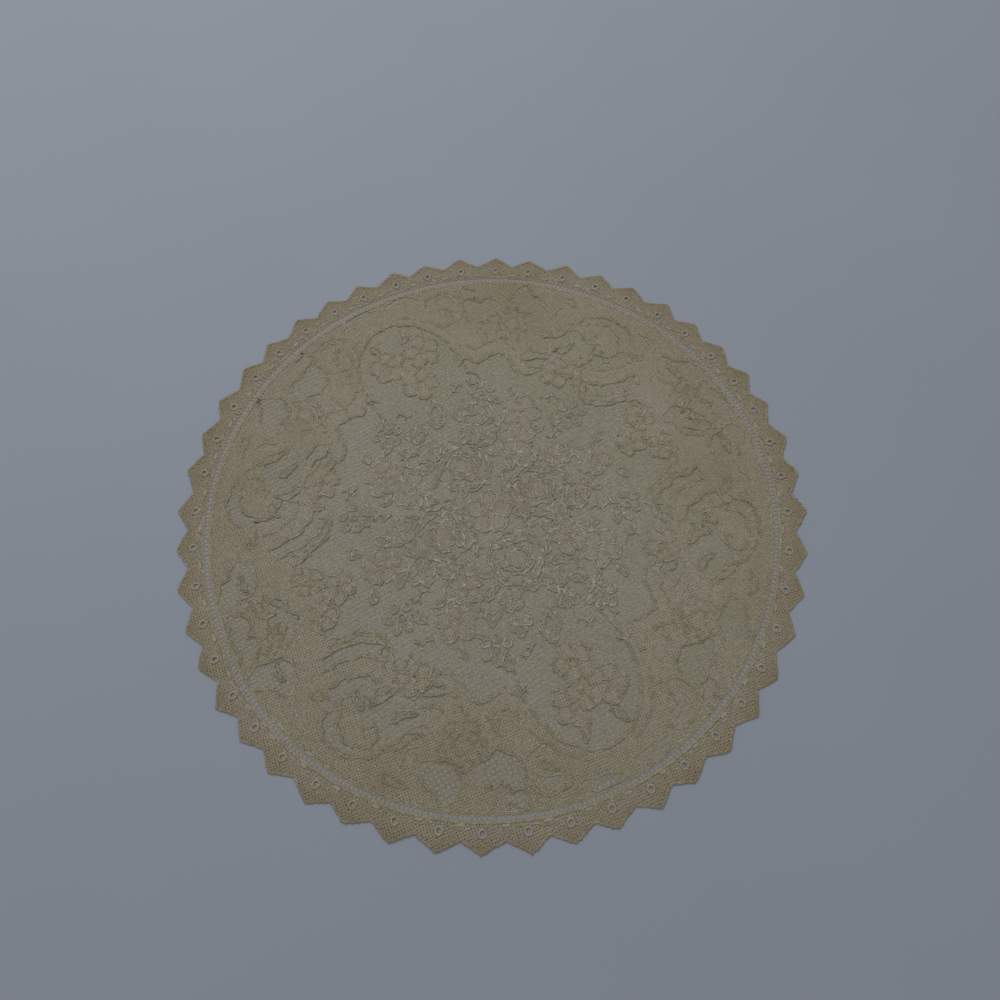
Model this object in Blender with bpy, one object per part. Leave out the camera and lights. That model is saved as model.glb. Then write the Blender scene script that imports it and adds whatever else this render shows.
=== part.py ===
"""Round lace doily, 300 mm across its points, lying flat on a table.

The lace is one sheet: a disc whose edge runs in 48 straight-sided points, with one
open eyelet inside each point.  The sheet's underside lies on z = 0 and +Z is up.
The origin is the middle of the round, on the underside.
"""

import math
from collections import namedtuple

import bmesh
import bpy

# Driving sizes, in metres and degrees.
POINT_COUNT = 48
TIP_RADIUS = 0.1500
VALLEY_RADIUS = 0.1444
THICKNESS = 0.0012
FIRST_TIP_DEG = 4.4
POINT_STEP_DEG = 360.0 / POINT_COUNT

EYELET_CENTRE_RADIUS = 0.1414
EYELET_HOLE_RADIUS = 0.0012
EYELET_SIDES = 12
CUTTER_OVERLAP = 0.001

# Washing and drying have pulled the round a little out of true.  Each row is one slow wave
# round the edge: how many lobes it has, how far it pushes the edge outwards and at which
# angle it peaks, and the same for how far it slides the points sideways along the edge.
EdgeWave = namedtuple("EdgeWave", "lobes out out_peak_deg along along_peak_deg")
EDGE_WAVES = (
    EdgeWave(lobes=2, out=0.0008, out_peak_deg=3, along=0.0010, along_peak_deg=28),
    EdgeWave(lobes=3, out=0.0007, out_peak_deg=22, along=0.0003, along_peak_deg=110),
    EdgeWave(lobes=4, out=0.0003, out_peak_deg=44, along=0.0010, along_peak_deg=9),
    EdgeWave(lobes=5, out=0.0003, out_peak_deg=19, along=0.0002, along_peak_deg=60),
)

# On top of that no two points are quite alike: their tips wander by up to this much, in a
# pattern that does not repeat within the round.
TIP_WANDER_OUT = 0.0004
TIP_WANDER_ALONG = 0.0007
WANDER_STEP_OUT = 2.3
WANDER_STEP_ALONG = 3.9

LACE_COLOUR = (0.665, 0.578, 0.381, 1.0)
LACE_ROUGHNESS = 0.9


def clear_scene():
    for obj in list(bpy.data.objects):
        bpy.data.objects.remove(obj, do_unlink=True)


def new_collection(name, hidden=False):
    made = bpy.data.collections.new(name)
    made.hide_render = hidden
    bpy.context.scene.collection.children.link(made)
    return made


def pulled(radius, angle_deg):
    """A point of the round, at its true radius and angle, where the pull has carried it."""
    out = 0.0
    along = 0.0
    for wave in EDGE_WAVES:
        out += wave.out * math.cos(math.radians(wave.lobes * (angle_deg - wave.out_peak_deg)))
        along += wave.along * math.cos(math.radians(wave.lobes * (angle_deg - wave.along_peak_deg)))
    share = (radius / TIP_RADIUS) ** 2
    new_radius = radius + out * share
    angle = math.radians(angle_deg) + along * share / TIP_RADIUS
    return new_radius * math.cos(angle), new_radius * math.sin(angle)


def tip_place(index):
    """Radius and angle of one tip, before the slow waves."""
    radius = TIP_RADIUS + TIP_WANDER_OUT * math.sin(WANDER_STEP_OUT * index)
    slide = TIP_WANDER_ALONG * math.sin(WANDER_STEP_ALONG * index) / TIP_RADIUS
    return radius, FIRST_TIP_DEG + POINT_STEP_DEG * index + math.degrees(slide)


def edge_points():
    """The corners of the zigzag, tip and valley in turn, anticlockwise from above."""
    corners = []
    for index in range(POINT_COUNT):
        corners.append(pulled(*tip_place(index)))
        valley_deg = FIRST_TIP_DEG + POINT_STEP_DEG * (index + 0.5)
        corners.append(pulled(VALLEY_RADIUS, valley_deg))
    return corners


def eyelet_centres():
    """One eyelet behind each tip, half-way between following the tip and keeping its station."""
    centres = []
    for index in range(POINT_COUNT):
        station_deg = FIRST_TIP_DEG + POINT_STEP_DEG * index
        _, tip_deg = tip_place(index)
        centres.append(pulled(EYELET_CENTRE_RADIUS, (station_deg + tip_deg) / 2))
    return centres


def flat_outline(name, points, collection):
    """A closed 2D curve through the points, filled and given the sheet's thickness."""
    curve = bpy.data.curves.new(name, "CURVE")
    curve.dimensions = "2D"
    curve.fill_mode = "BOTH"
    curve.extrude = THICKNESS / 2
    line = curve.splines.new("POLY")
    line.points.add(len(points) - 1)
    for corner, (x, y) in zip(line.points, points):
        corner.co = (x, y, 0.0, 1.0)
    line.use_cyclic_u = True
    made = bpy.data.objects.new(name, curve)
    made.location.z = THICKNESS / 2
    collection.objects.link(made)
    return made


def as_mesh(curve_object, collection):
    """The curve's shape as a mesh object with its caps welded on; the curve is removed."""
    bpy.context.view_layer.update()
    evaluated = curve_object.evaluated_get(bpy.context.evaluated_depsgraph_get())
    mesh = bpy.data.meshes.new_from_object(evaluated)
    shape = bmesh.new()
    shape.from_mesh(mesh)
    bmesh.ops.remove_doubles(shape, verts=shape.verts, dist=1e-6)
    bmesh.ops.recalc_face_normals(shape, faces=shape.faces)
    shape.to_mesh(mesh)
    shape.free()
    name = curve_object.name
    placed = curve_object.matrix_world.copy()
    bpy.data.objects.remove(curve_object, do_unlink=True)
    mesh.name = name
    made = bpy.data.objects.new(name, mesh)
    made.matrix_world = placed
    collection.objects.link(made)
    return made


def eyelet_cutter(centres, collection):
    """All the eyelet holes as one set of short pins through the sheet."""
    pins = bmesh.new()
    depth = THICKNESS + 2 * CUTTER_OVERLAP
    for x, y in centres:
        added = bmesh.ops.create_cone(
            pins,
            cap_ends=True,
            segments=EYELET_SIDES,
            radius1=EYELET_HOLE_RADIUS,
            radius2=EYELET_HOLE_RADIUS,
            depth=depth,
        )
        bmesh.ops.translate(pins, verts=added["verts"], vec=(x, y, THICKNESS / 2))
    mesh = bpy.data.meshes.new("eyelet_pins")
    pins.to_mesh(mesh)
    pins.free()
    made = bpy.data.objects.new("eyelet_pins", mesh)
    made.hide_render = True
    made.display_type = "WIRE"
    collection.objects.link(made)
    return made


def cut(target, cutter):
    hole = target.modifiers.new("eyelets", "BOOLEAN")
    hole.operation = "DIFFERENCE"
    hole.solver = "EXACT"
    hole.object = cutter


def lace_material():
    """Old ecru cotton: matt, not metallic."""
    material = bpy.data.materials.new("ecru_cotton_lace")
    material.use_nodes = True
    shader = material.node_tree.nodes["Principled BSDF"]
    shader.inputs["Base Color"].default_value = LACE_COLOUR
    shader.inputs["Roughness"].default_value = LACE_ROUGHNESS
    shader.inputs["Metallic"].default_value = 0.0
    return material


def build():
    clear_scene()
    pieces = new_collection("lace_doily")
    cutters = new_collection("cutters", hidden=True)
    sheet = as_mesh(flat_outline("doily", edge_points(), pieces), pieces)
    cut(sheet, eyelet_cutter(eyelet_centres(), cutters))
    sheet.data.materials.append(lace_material())


build()
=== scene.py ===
# %% [markdown]
# # A round lace doily
#
# The real thing is one sheet of machine-made cotton lace, 300 mm across its 48 points.
# A square net is the ground.  A finer, closer net, the cloth-work, fills the flowers and
# leaves, and a raised cord is stitched round every shape.  A ladder of tiny bars joins
# the round field to a border that ends in points, with an eyelet in each of them.
#
# A picture of lace on a flat disc would look right from one side only, so every thread
# that the eye can follow is real geometry here, and only the ply of the yarn is bump.

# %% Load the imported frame
import math
from collections import namedtuple

import bpy
import numpy as np
from mathutils import Matrix, Vector
from mathutils.kdtree import KDTree


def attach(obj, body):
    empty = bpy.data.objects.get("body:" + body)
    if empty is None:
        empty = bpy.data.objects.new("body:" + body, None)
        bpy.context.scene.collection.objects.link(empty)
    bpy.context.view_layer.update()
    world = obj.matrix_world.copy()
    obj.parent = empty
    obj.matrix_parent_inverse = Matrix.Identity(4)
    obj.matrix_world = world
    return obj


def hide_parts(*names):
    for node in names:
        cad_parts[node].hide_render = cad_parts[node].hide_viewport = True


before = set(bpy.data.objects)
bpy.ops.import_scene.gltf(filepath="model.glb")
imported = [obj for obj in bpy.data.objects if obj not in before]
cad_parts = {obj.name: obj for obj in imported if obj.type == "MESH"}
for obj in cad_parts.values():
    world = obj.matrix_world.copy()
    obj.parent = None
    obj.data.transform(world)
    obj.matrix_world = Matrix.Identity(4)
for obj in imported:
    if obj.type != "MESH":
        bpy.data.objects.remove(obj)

bpy.ops.object.select_all(action="DESELECT")
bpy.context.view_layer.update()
MM = 0.001

# %% [markdown]
# ## Where the eye is
#
# The doily is seen from above and a little in front, through a plain wide lens at
# 0.36 m, which makes its near half look larger.  The camera is placed by the point it
# looks at, how steeply it looks down and its distance.

# %% Camera
AIM = Vector((0.0051, 0.0062, 0.0))
CAMERA_ELEVATION_DEG = 69.2
CAMERA_DISTANCE = 0.3575
CAMERA_ROLL_DEG = -2.36
LENS_MM = 26.66

elevation = math.radians(CAMERA_ELEVATION_DEG)
towards_eye = Vector((0.0, -math.cos(elevation), math.sin(elevation)))
bpy.ops.object.camera_add(location=AIM + CAMERA_DISTANCE * towards_eye)
camera = bpy.context.active_object
camera.name = "studio_camera"
looking = (-towards_eye).to_track_quat("-Z", "Y").to_matrix()
rolled = looking @ Matrix.Rotation(math.radians(CAMERA_ROLL_DEG), 3, "Z")
camera.rotation_euler = rolled.to_euler()
camera.data.lens = LENS_MM
camera.data.sensor_width = 36.0
camera.data.clip_start = 0.01
bpy.context.scene.camera = camera
print("camera at", [round(x, 4) for x in camera.location])

# %% [markdown]
# ## Colours and nodes
#
# Colours are written as sRGB hex, and one function turns them into the linear numbers
# that a shader needs.  Another adds a node with its settings and links, so that each
# material below reads like a list.

# %% Colour and node helpers
def linear(hex_colour):
    """sRGB hex to linear red, green, blue and alpha."""
    channels = []
    for start in (1, 3, 5):
        value = int(hex_colour[start:start + 2], 16) / 255
        if value <= 0.04045:
            channels.append(value / 12.92)
        else:
            channels.append(((value + 0.055) / 1.055) ** 2.4)
    return (*channels, 1.0)


def add_node(tree, kind, settings=None, **inputs):
    """A node.  An input is a number, a colour, an output, or a node for its first output."""
    node = tree.nodes.new("ShaderNode" + kind)
    for name, value in (settings or {}).items():
        setattr(node, name, value)
    for name, value in inputs.items():
        key = int(name[1:]) if name[1:].isdigit() else name.replace("_", " ")
        if isinstance(value, bpy.types.Node):
            value = next(output for output in value.outputs if output.enabled)
        if isinstance(value, bpy.types.NodeSocket):
            tree.links.new(value, node.inputs[key])
        else:
            node.inputs[key].default_value = value
    return node


def new_material(name):
    """A material with an empty node tree and its output."""
    material = bpy.data.materials.new(name)
    material.use_nodes = True
    tree = material.node_tree
    tree.nodes.clear()
    return material, tree, tree.nodes.new("ShaderNodeOutputMaterial")


# %% [markdown]
# ## The table and the light
#
# The lace lies on a pale painted board.  One broad soft lamp stands behind the doily,
# nearly 50 degrees up, like a window across the table, so each cord has a lit far side
# and a thin dark line along its near side.  A dim sky fills in.

# %% Table top
TABLE_HEX = "#cad0da"
TABLE_SIZE = 4.0
MOTTLES_PER_M = 9.0

bpy.ops.mesh.primitive_plane_add(size=TABLE_SIZE)
table = bpy.context.active_object
table.name = "table_top"
paint, tree, output = new_material("painted_board")
place = add_node(tree, "TexCoord").outputs["Object"]
mottle = add_node(tree, "TexNoise", Vector=place, Scale=MOTTLES_PER_M, Detail=2.0)
tint = add_node(tree, "MapRange", Value=mottle, To_Min=0.97, To_Max=1.03)
board = linear(TABLE_HEX)[:3]
toned = add_node(tree, "VectorMath", {"operation": "SCALE"}, i0=board, Scale=tint)
shader = add_node(tree, "BsdfPrincipled", Base_Color=toned, Roughness=0.6, Specular_IOR_Level=0.3)
tree.links.new(shader.outputs["BSDF"], output.inputs["Surface"])
table.data.materials.append(paint)
print("table", TABLE_SIZE, "m wide,", TABLE_HEX)

# %% Light
WINDOW_WATTS = 4.72
WINDOW_PLACE = Vector((-0.33, 0.83, 1.00))
WINDOW_WIDTH = 1.4
WINDOW_DEPTH = 0.9
SKY_STRENGTH = 0.25
SKY_HEX = "#e6ecf5"

bpy.ops.object.light_add(type="AREA", location=WINDOW_PLACE)
window = bpy.context.active_object
window.name = "window_light"
window.data.shape = "RECTANGLE"
window.data.size = WINDOW_WIDTH
window.data.size_y = WINDOW_DEPTH
window.data.energy = WINDOW_WATTS
window.rotation_euler = (-WINDOW_PLACE).to_track_quat("-Z", "Y").to_euler()

sky = bpy.data.worlds.new("even_sky")
bpy.context.scene.world = sky
sky.use_nodes = True
glow = sky.node_tree.nodes["Background"]
glow.inputs["Color"].default_value = linear(SKY_HEX)
glow.inputs["Strength"].default_value = SKY_STRENGTH
bpy.context.scene.view_settings.view_transform = "Standard"
print("lamp", round(WINDOW_PLACE.length, 2), "m away,", WINDOW_WATTS, "W")

# %% [markdown]
# ## The pull of the cloth
#
# Washing and drying pull lace a little out of round.  The same few waves that bend the
# sheet's edge bend every thread inside it, most at the rim and not at all in the middle,
# so all pieces go through this one function in the end.

# %% Edge sizes and the pull
POINT_COUNT = 48
POINT_STEP_DEG = 360.0 / POINT_COUNT
FIRST_TIP_DEG = 4.4
TIP_RADIUS = 150.0 * MM
VALLEY_RADIUS = 144.4 * MM
EYELET_RADIUS = 141.4 * MM

EdgeWave = namedtuple("EdgeWave", "lobes out out_peak_deg along along_peak_deg")
EDGE_WAVES = (
    EdgeWave(2, 0.0008, 3, 0.0010, 28),
    EdgeWave(3, 0.0007, 22, 0.0003, 110),
    EdgeWave(4, 0.0003, 44, 0.0010, 9),
    EdgeWave(5, 0.0003, 19, 0.0002, 60),
)
TIP_WANDER_OUT = 0.0004
TIP_WANDER_ALONG = 0.0007
TIP_OUT_BEAT = 2.3
TIP_ALONG_BEAT = 3.9


def pulled(flat):
    """The x and y of points of the perfect round, moved as the real cloth is pulled."""
    flat = np.asarray(flat, float)
    radius = np.hypot(flat[:, 0], flat[:, 1])
    angle = np.arctan2(flat[:, 1], flat[:, 0])
    share = (radius / TIP_RADIUS) ** 2
    out = np.zeros(len(flat))
    along = np.zeros(len(flat))
    for wave in EDGE_WAVES:
        out += wave.out * np.cos(wave.lobes * (angle - math.radians(wave.out_peak_deg)))
        along += wave.along * np.cos(wave.lobes * (angle - math.radians(wave.along_peak_deg)))
    radius = radius + out * share
    angle = angle + along * share / TIP_RADIUS
    return np.column_stack([radius * np.cos(angle), radius * np.sin(angle)])


def polar(radius, angle_deg):
    """Points at these radii and angles, as rows of x and y."""
    radius, angle = np.broadcast_arrays(radius, np.radians(angle_deg))
    radius, angle = radius.ravel(), angle.ravel()
    return np.column_stack([radius * np.cos(angle), radius * np.sin(angle)])


def tip_place(index):
    """Radius and angle of one tip of the edge, before the pull."""
    radius = TIP_RADIUS + TIP_WANDER_OUT * math.sin(TIP_OUT_BEAT * index)
    slide = TIP_WANDER_ALONG * math.sin(TIP_ALONG_BEAT * index) / TIP_RADIUS
    return radius, FIRST_TIP_DEG + POINT_STEP_DEG * index + math.degrees(slide)


def edge_outline():
    """Tips and valleys in turn, anticlockwise, before the pull."""
    corners = []
    for index in range(POINT_COUNT):
        corners.append(polar(*tip_place(index))[0])
        corners.append(polar(VALLEY_RADIUS, FIRST_TIP_DEG + POINT_STEP_DEG * (index + 0.5))[0])
    return np.array(corners)


def eyelet_centre(index):
    """Radius and angle of one eyelet, before the pull."""
    station_deg = FIRST_TIP_DEG + POINT_STEP_DEG * index
    return EYELET_RADIUS, (station_deg + tip_place(index)[1]) / 2


edge = pulled(edge_outline()) / MM
print("edge reaches", np.round(edge.min(axis=0), 1), "to", np.round(edge.max(axis=0), 1), "mm")

# %% [markdown]
# ## Drawing the motifs
#
# Flowers, roses, scrolls and feathery leaves are the common stock of machine lace.  Each
# motif is drawn as lines in millimetres round its own middle, with +Y away from the
# middle of the doily.  A line says whether its inside is cloth-work, an open window or
# nothing, and how thick a cord follows it.

# %% Line helpers
Line = namedtuple("Line", "points closed weave cord")
CORD_MM = 0.74
FINE_MM = 0.54


def shape(points, weave="cloth", cord=CORD_MM):
    """A closed line, its inside worked in this weave, with a cord this many mm thick."""
    return Line(points, True, weave, cord)


def stroke(points, cord=CORD_MM):
    """An open line that is nothing but a cord."""
    return Line(points, False, None, cord)


def turn(points, angle_deg):
    """Points turned anticlockwise about the origin."""
    angle = math.radians(angle_deg)
    matrix = np.array([[math.cos(angle), math.sin(angle)], [-math.sin(angle), math.cos(angle)]])
    return np.asarray(points, float) @ matrix


def arc(radius, start_deg, end_deg, grow=0.0, steps=24):
    """An arc round the origin.  It grows by this share of its radius on the way."""
    share = np.linspace(0, 1, steps)
    return polar(radius * (1 + grow * share), start_deg + (end_deg - start_deg) * share)


def flowing(points, steps=8):
    """A smooth curve through a few points."""
    points = np.asarray(points, float)
    padded = np.vstack([2 * points[0] - points[1], points, 2 * points[-1] - points[-2]])
    share = np.linspace(0, 1, steps, endpoint=False)[:, None]
    runs = []
    for before, start, end, after in zip(padded, padded[1:], padded[2:], padded[3:]):
        runs.append(
            0.5 * (2 * start + (end - before) * share
                   + (2 * before - 5 * start + 4 * end - after) * share ** 2
                   + (3 * start - before - 3 * end + after) * share ** 3)
        )
    return np.vstack([*runs, points[-1:]])


def evenly(points, closed, step):
    """The same line with points about a step apart."""
    points = np.asarray(points, float)
    if closed:
        points = np.vstack([points, points[:1]])
    runs = np.hypot(*np.diff(points, axis=0).T)
    reached = np.concatenate([[0.0], np.cumsum(runs)])
    count = max(3, int(round(reached[-1] / step)))
    wanted = np.linspace(0.0, reached[-1], count + 1)
    if closed:
        wanted = wanted[:-1]
    return np.column_stack([np.interp(wanted, reached, points[:, axis]) for axis in (0, 1)])


# %% [markdown]
# A flower with five petals is a circle whose radius dips five times.  The cosine is
# raised to a power under one, which keeps each petal full and each notch sharp.  The
# rose has six shallow lobes, and crescents of open net wind in to its bud.

# %% Flowers
def lobed(size, lobes, dip, fullness=0.55, steps=90):
    """A closed outline with this many rounded lobes, its notches dipping by a share."""
    angle = np.linspace(0, 360, steps, endpoint=False)
    swell = np.abs(np.cos(np.radians(angle) * lobes / 2)) ** fullness
    return turn(polar(size * (1 - dip + dip * swell), angle), 90.0)


def crescent(radius, half_width, start_deg, end_deg, steps=16):
    """A closed sickle round the origin, pointed at both ends."""
    share = np.linspace(0, 1, steps)
    angle = start_deg + (end_deg - start_deg) * share
    half = half_width * np.sin(math.pi * share)
    return np.vstack([polar(radius + half, angle), polar(radius - half, angle)[-2:0:-1]])


def ring(radius, steps=12):
    return polar(radius, np.linspace(0, 360, steps, endpoint=False))


def five_petals(size):
    lines = [shape(lobed(size, 5, 0.44))]
    vein = flowing([(0.0, 0.24 * size), (0.04 * size, 0.4 * size), (0.0, 0.60 * size)], 4)
    for petal in range(5):
        lines.append(stroke(turn(vein, 36 + 72 * petal), FINE_MM))
    lines.append(shape(ring(0.20 * size), "open", FINE_MM))
    return lines


def rose(size):
    """Open outer petals with folds in them, round a close bud."""
    lines = [shape(lobed(size, 6, 0.12), "open", CORD_MM)]
    for start in (10, 130, 250):
        fold = crescent(0.80 * size, 0.10 * size, start, start + 90)
        lines.append(shape(fold, cord=FINE_MM))
    lines.append(shape(turn(lobed(0.58 * size, 5, 0.2, steps=50), 20)))
    for radius, start, end in ((0.36, 40, 215), (0.33, 245, 385)):
        lines.append(shape(crescent(radius * size, 0.07 * size, start, end), "open", FINE_MM))
    return lines


def floret(size):
    """Six round petals, close and dark, about an open middle."""
    lines = []
    for petal in range(6):
        middle = turn([(0.0, 0.8 * size)], 60 * petal)[0]
        lines.append(shape(ring(0.28 * size, 8) + middle))
    lines.append(shape(ring(0.24 * size, 8), "open", FINE_MM))
    return lines


def peony(size):
    """A full flower without an outline, only folds of petals round its middle."""
    lines = [shape(lobed(size, 6, 0.2), "cloth", 0)]
    for petal in range(5):
        fold = crescent(0.7 * size, 0.13 * size, 0, 60) * (1.0, 0.9)
        lines.append(shape(turn(fold, 72 * petal), cord=FINE_MM))
    lines.append(shape(lobed(0.34 * size, 4, 0.35, steps=32), cord=FINE_MM))
    lines.append(shape(crescent(0.5 * size, 0.08 * size, 150, 260), "open", FINE_MM))
    return lines


# %% [markdown]
# Leaves are two bowed lines that meet in points.  A twig is a short stem with thorns.
# A feather is a sheaf of strokes that bend over at their ends, and a hook is a band of
# open net under an arch, rolled at one end, with blades fanned out below it.

# %% Leaves and twigs
def leaf_outline(length, width, bend=0.0):
    along = np.linspace(0, 1, 12)
    half = 0.5 * width * np.sin(math.pi * along) ** 0.8
    middle = bend * np.sin(math.pi * along)
    right = np.column_stack([middle + half, length * along])
    left = np.column_stack([middle - half, length * along])[-2:0:-1]
    return np.vstack([right, left]) - (0.0, length / 2)


def leaf(size):
    """A small plain leaf with a vein."""
    outline = leaf_outline(size, 0.46 * size, 0.08 * size)
    vein = flowing([(0.0, -0.3 * size), (0.08 * size, 0.0), (0.03 * size, 0.25 * size)], 4)
    return [shape(outline), stroke(vein, FINE_MM)]


def blade(size):
    """A slim bent leaf."""
    return [shape(leaf_outline(size, 0.24 * size, 0.12 * size))]


def veined_leaf(size):
    lines = [shape(leaf_outline(2 * size, 1.2 * size))]
    return lines + [shape(leaf_outline(1.2 * size, 0.6 * size), "open", CORD_MM)]


def twig(size):
    """A crooked stem with thorns."""
    stem = flowing([(-0.1, -0.5), (0.1, -0.2), (-0.06, 0.12), (0.1, 0.5)], 4) * size
    lines = [stroke(stem)]
    for foot, side in (((0.1, -0.2), 1), ((-0.06, 0.12), -1), ((0.02, 0.3), 1)):
        start = np.array(foot) * size
        thorn = np.array([start, start + (0.24 * side * size, 0.12 * size)])
        lines.append(stroke(thorn, FINE_MM))
    return lines


def zigzag_twig(size):
    """Two angular lines side by side."""
    corners = ((-1.0, -0.5), (-0.45, 0.25), (-0.15, -0.1), (0.3, 0.35), (0.6, 0.0), (1.0, 0.15))
    line = np.array(corners) * size
    shorter = (line[:4] + (0.1 * size, -0.3 * size)) * (0.8, 1.0)
    return [stroke(line), stroke(shorter, FINE_MM)]


# %% Feathers, hooks, arches and windows
def feather(size):
    """Strokes that spring from the rim, sweep in and bend over at their ends."""
    master = np.array([(0.95, 0.30), (0.62, -0.40), (0.16, -0.84), (-0.22, -0.86), (-0.34, -0.56)])
    plumes = []
    for rank, reach in enumerate((1.0, 1.22, 1.12, 0.9, 0.66)):
        plumes.append(flowing((master * reach + (-0.23 * rank, 0.30 * rank)) * size, 6))
    lines = []
    for rank, (outer, inner) in enumerate(zip(plumes, plumes[1:])):
        weave = "cloth" if rank % 2 == 0 else "open"
        lines.append(shape(np.vstack([outer, inner[::-1]]), weave, 0.0))
    for rank, plume in enumerate(plumes):
        lines.append(stroke(plume, CORD_MM if rank < 3 else FINE_MM))
    return lines


def hook(size):
    outer = size * flowing(
        [(0.95, -0.10), (0.80, 0.46), (0.10, 0.74), (-0.62, 0.66), (-1.15, 0.36), (-1.5, -0.1)]
    )
    inner = size * flowing(
        [(0.58, -0.5), (0.32, 0.08), (-0.3, 0.34), (-0.85, 0.18),
         (-1.08, -0.22), (-0.86, -0.58), (-0.5, -0.48), (-0.56, -0.18)]
    )
    field = lobed(1.15 * size, 5, 0.14, steps=40) * (1.05, 0.85) + (-0.95 * size, -1.2 * size)
    lines = [shape(field, "open", 0)]
    lines.append(shape(np.vstack([outer, (-0.6 * size, -0.7 * size)]), "cloth", 0))
    lines.append(shape(np.vstack([outer[:25], inner[17::-1]]), "open", 0))
    lines.append(stroke(outer))
    lines.append(stroke(inner))
    fan = (
        (0.22, -1.1, 0.75, 55), (-0.50, -1.6, 1.15, -25),
        (-1.45, -1.4, 0.9, -40), (-1.95, -0.7, 1.4, -32),
    )
    for across, out, length, slant in fan:
        outline = turn(leaf_outline(length * size, 0.27 * size, 0.08 * size), slant)
        lines.append(shape(outline + (across * size, out * size)))
    return lines


def arch(size):
    """A tall arch round a field of open net, with leaves under its top."""
    sweep = arc(size, -22, 202, steps=48) * (1.0, 1.3)
    lines = [shape(sweep, "open", 0), stroke(sweep)]
    for side in (1, -1):
        lines.append(stroke(arc(1.2 * size, 68, 20, steps=18) * (side, 1.2), FINE_MM))
        roll = flowing([(0.92, -0.46), (1.06, -0.62), (0.98, -0.80), (0.84, -0.72), (0.9, -0.6)])
        lines.append(stroke(roll * size * (side, 1)))
        rib = turn(leaf_outline(0.34 * size, 0.12 * size, 0.03 * size), -35) + (0.30 * size, 0.92 * size)
        lines.append(shape(rib * (side, 1)))
    return lines


def lobe(size):
    """A round lobe, three quarters of it edged with cord, with a crescent of open net."""
    edge = arc(size, -100, 175, steps=32)
    crease = leaf_outline(1.1 * size, 0.2 * size, 0.2 * size)
    return [
        shape(crescent(0.55 * size, 0.3 * size, 10, 170), "open", 0),
        stroke(edge),
        shape(turn(crease, 65) - (0.0, 0.25 * size), cord=FINE_MM),
    ]


def opening(size):
    """An uneven window of open net, edged on two sides only."""
    angle = np.linspace(0.0, 2 * math.pi, 36, endpoint=False)
    radius = 1 + 0.20 * np.cos(2 * angle + 0.7) + 0.16 * np.cos(3 * angle) + 0.07 * np.cos(5 * angle + 2)
    outline = polar(0.95 * size * radius, np.degrees(angle))
    return [
        shape(outline, "open", 0),
        stroke(outline[2:12], FINE_MM),
        stroke(outline[18:32]),
    ]


def strip(size):
    """A long bent window of open net with no cord."""
    return [shape(leaf_outline(2 * size, 0.6 * size, 0.2 * size), "open", 0)]


# %% [markdown]
# ## Laying out the design
#
# The lace repeats like a folded paper cut: one side of a fold is mirrored on the other,
# and the whole is turned half round.  So one table holds a quarter of the design, in
# millimetres and degrees.  A row on a fold is drawn once, any other row twice.  Each
# copy is nudged by sines of its number, and its lines wander, because no two repeats in
# real lace are the same.

# %% The table of motifs
Motif = namedtuple("Motif", "draw radius off_deg size turn_deg")
LONG_FOLD_DEG = 115.5
FOLDS_DEG = (LONG_FOLD_DEG, LONG_FOLD_DEG + 180.0)
QUARTER = (
    (rose, 26.5, 0, 13.5, 10), (rose, 25.5, 90, 14, -20),
    (twig, 18, 45, 10, 20), (leaf, 28.5, 45, 9, 25),
    (five_petals, 40.5, 45, 9.2, 15), (five_petals, 43.5, 15, 6, 40),
    (five_petals, 43.5, 75, 6.6, 10), (leaf, 40, 27, 9.5, -40),
    (twig, 37.5, 64, 9, 80), (leaf, 16.5, 20, 7, 60),
    (five_petals, 17, 70, 4.8, 0), (blade, 31, 30, 9, 70),
    (five_petals, 33, 60, 5, 20), (leaf, 41.5, 0, 9, -80),
    (blade, 41.5, 90, 10, 75), (twig, 47.5, 30, 8, 30),
    (five_petals, 55.5, 43, 9.8, -8), (blade, 50, 54, 8, -50),
    (five_petals, 56.5, 14, 4.6, 0), (leaf, 59, 60, 7.5, 60),
    (blade, 59.5, 30, 8, 80), (veined_leaf, 60, 0, 8.4, 14),
    (five_petals, 58, 90, 8.8, 30), (leaf, 53.5, 11, 9.5, 35),
    (leaf, 52, 25, 9, -35), (leaf, 51.5, 79, 10.5, 40),
    (twig, 52.5, 65, 9, -15), (floret, 65, 24, 7, 0),
    (floret, 65.5, 65, 7, 20), (leaf, 67, 37, 7.5, 30),
    (twig, 69, 12, 8, -50), (leaf, 67, 79, 7.5, 50),
    (twig, 68.5, 53, 8.5, -60), (arch, 84, 0, 26.5, 0),
    (five_petals, 80.5, 0, 9.4, 36), (five_petals, 96.5, 5.7, 9.6, 8),
    (lobe, 119.5, 15.5, 10.5, -20), (strip, 128, 6, 11, 88),
    (peony, 107.5, 34, 13.5, 0), (opening, 116, 25.5, 9.5, 20),
    (opening, 122.5, 37, 9, -10), (opening, 127.5, 22, 4.5, 0),
    (blade, 98, 25, 11, 10), (opening, 89, 43, 6.5, 40),
    (strip, 116.5, 44, 7, -30), (strip, 104, 44.5, 6, -80),
    (blade, 126, 46, 13, 80), (hook, 117.5, 59.5, 12.5, 0),
    (five_petals, 83.5, 51.3, 8.6, 4), (leaf, 114.5, 69, 8.5, -60),
    (strip, 123.5, 69, 8, 75), (feather, 91.5, 67.5, 15, 0),
    (opening, 121.5, 79, 9.5, 60), (blade, 120, 79, 11, 85),
    (five_petals, 90.5, 84, 7.4, 20), (five_petals, 79.5, 90, 7.8, 0),
    (opening, 107.5, 90, 8, 180), (blade, 114, 86.5, 12, 40),
    (zigzag_twig, 116, 84, 10, 70), (opening, 127, 87.5, 6.5, 30),
)
NUDGE_MM = 0.8
NUDGE_DEG = 5.0
OUT_BEAT = 1.7
ALONG_BEAT = 2.9
SPIN_BEAT = 4.3
Wobble = namedtuple("Wobble", "amount_mm length_mm along_deg")
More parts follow.
